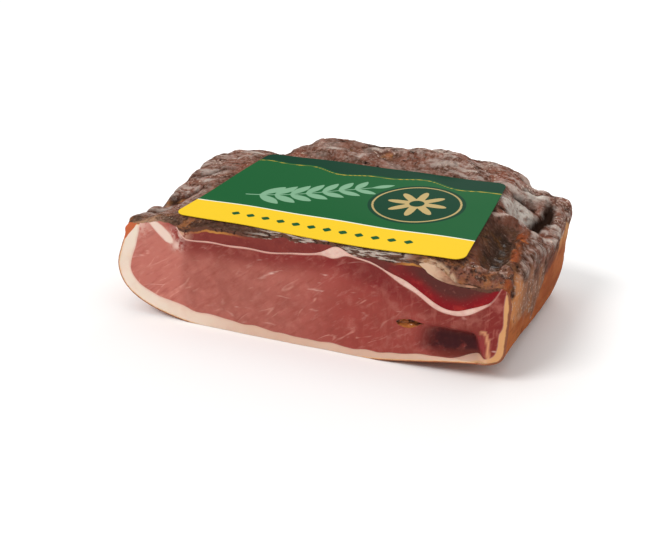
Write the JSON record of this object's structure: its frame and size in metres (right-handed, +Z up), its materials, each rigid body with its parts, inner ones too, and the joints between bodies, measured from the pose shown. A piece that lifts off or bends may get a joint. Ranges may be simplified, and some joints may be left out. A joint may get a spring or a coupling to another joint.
{
  "type": "speck ham",
  "caption": "Half of a boned, smoked and air-dried ham, flat-pressed, cut straight across to show lean, seam fat and fat cap, with a blank-print label stuck on its crust.",
  "frame": {"origin": "centre of the block's box, on the board that it rests on", "axes": "+X runs along the cut, its longest side, +Y points away from the cut, and +Z is up"},
  "size_m": [0.2416, 0.16, 0.0854],
  "materials": {
    "lean": "moist cut lean ham",
    "dark_lean": "dark dried lean ham under a brown smoked crust",
    "fat": "cream pork fat",
    "rind": "amber smoked rind over cream fat",
    "label": "coated paper label in green with a yellow band"
  },
  "bodies": {
    "root": {"lean_main": "lean", "lean_upper": "dark_lean", "fat_seam": "fat", "fat_strip": "fat", "fat_pad": "fat", "fat_cap": "rind", "label": "label"}
  },
  "joints": []
}
